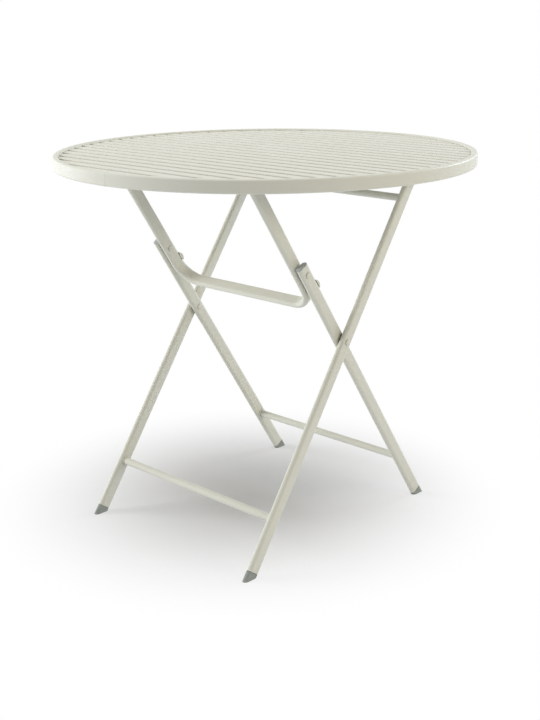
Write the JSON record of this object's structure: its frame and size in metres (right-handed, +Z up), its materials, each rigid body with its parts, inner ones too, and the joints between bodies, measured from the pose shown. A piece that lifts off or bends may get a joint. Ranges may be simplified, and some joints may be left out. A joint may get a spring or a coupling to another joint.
{
  "type": "folding bistro table",
  "caption": "Round folding bistro table: slatted metal top in a rolled rim on crossed flat-oval legs with a locking bail; the legs fold flat under the top.",
  "frame": {"origin": "on the floor, under the centre of the round top", "axes": "+X along the slats and crossbars, +Y from the long legs' feet towards the short legs' feet, +Z up"},
  "size_m": [0.8, 0.8, 0.7102],
  "materials": {
    "powder_coat": "satin cream powder coat on steel",
    "painted_pins": "satin cream powder coat on steel rivets and pins",
    "grey_plastic": "matt moulded grey plastic"
  },
  "bodies": {
    "tabletop": {"rim_tube": "powder_coat", "rim_weld": "powder_coat", "slat_01": "powder_coat", "slat_02": "powder_coat", "slat_03": "powder_coat", "slat_04": "powder_coat", "slat_05": "powder_coat", "slat_06": "powder_coat", "slat_07": "powder_coat", "slat_08": "powder_coat", "slat_09": "powder_coat", "slat_10": "powder_coat", "slat_11": "powder_coat", "slat_12": "powder_coat", "slat_13": "powder_coat", "slat_14": "powder_coat", "slat_15": "powder_coat", "slat_16": "powder_coat", "slat_17": "powder_coat", "slat_18": "powder_coat", "slat_19": "powder_coat", "slat_20": "powder_coat", "slat_21": "powder_coat", "slat_22": "powder_coat", "slat_23": "powder_coat", "slat_24": "powder_coat", "slat_25": "powder_coat", "bearer_left": "powder_coat", "bearer_right": "powder_coat", "long_bracket_left": "powder_coat", "long_bracket_right": "powder_coat", "bail_bracket_left": "powder_coat", "bail_bracket_right": "powder_coat", "long_pivot_pins": "painted_pins", "bail_pivot_pins": "painted_pins"},
    "long_frame": {"long_leg_left": "powder_coat", "long_leg_right": "powder_coat", "long_upper_bar": "powder_coat", "long_lower_bar": "powder_coat", "long_foot_left": "grey_plastic", "long_foot_right": "grey_plastic", "long_end_caps": "grey_plastic", "crossing_rivets": "painted_pins", "crossing_washers": "grey_plastic"},
    "bail": {"bail_tube": "powder_coat", "bail_end_caps": "grey_plastic", "stop_pin_left": "powder_coat", "stop_pin_right": "powder_coat", "elbow_pins": "painted_pins", "elbow_bushes": "grey_plastic"},
    "short_frame": {"short_leg_left": "powder_coat", "short_leg_right": "powder_coat", "short_lower_bar": "powder_coat", "short_foot_left": "grey_plastic", "short_foot_right": "grey_plastic", "short_end_cap_left": "grey_plastic", "short_end_cap_right": "grey_plastic", "crossing_studs": "painted_pins"}
  },
  "joints": [
    {"name": "fold", "type": "hinge", "parent": "tabletop", "child": "long_frame", "pos_m": [0, 0.2055, 0.68101], "axis": [-1, 0, 0], "range_deg": [0, 51.1]},
    {"name": "bail_swing", "type": "hinge", "parent": "tabletop", "child": "bail", "pos_m": [0, -0.209, 0.68101], "axis": [1, 0, 0], "range_deg": [0, 55.25]},
    {"name": "elbow", "type": "hinge", "parent": "bail", "child": "short_frame", "pos_m": [0, -0.09773, 0.51015], "axis": [-1, 0, 0], "range_deg": [0, 170.46]}
  ],
  "couplings": [
    {"joint": "bail_swing", "follows": "fold", "ratio": 1.0811},
    {"joint": "elbow", "follows": "fold", "ratio": 3.3354}
  ]
}
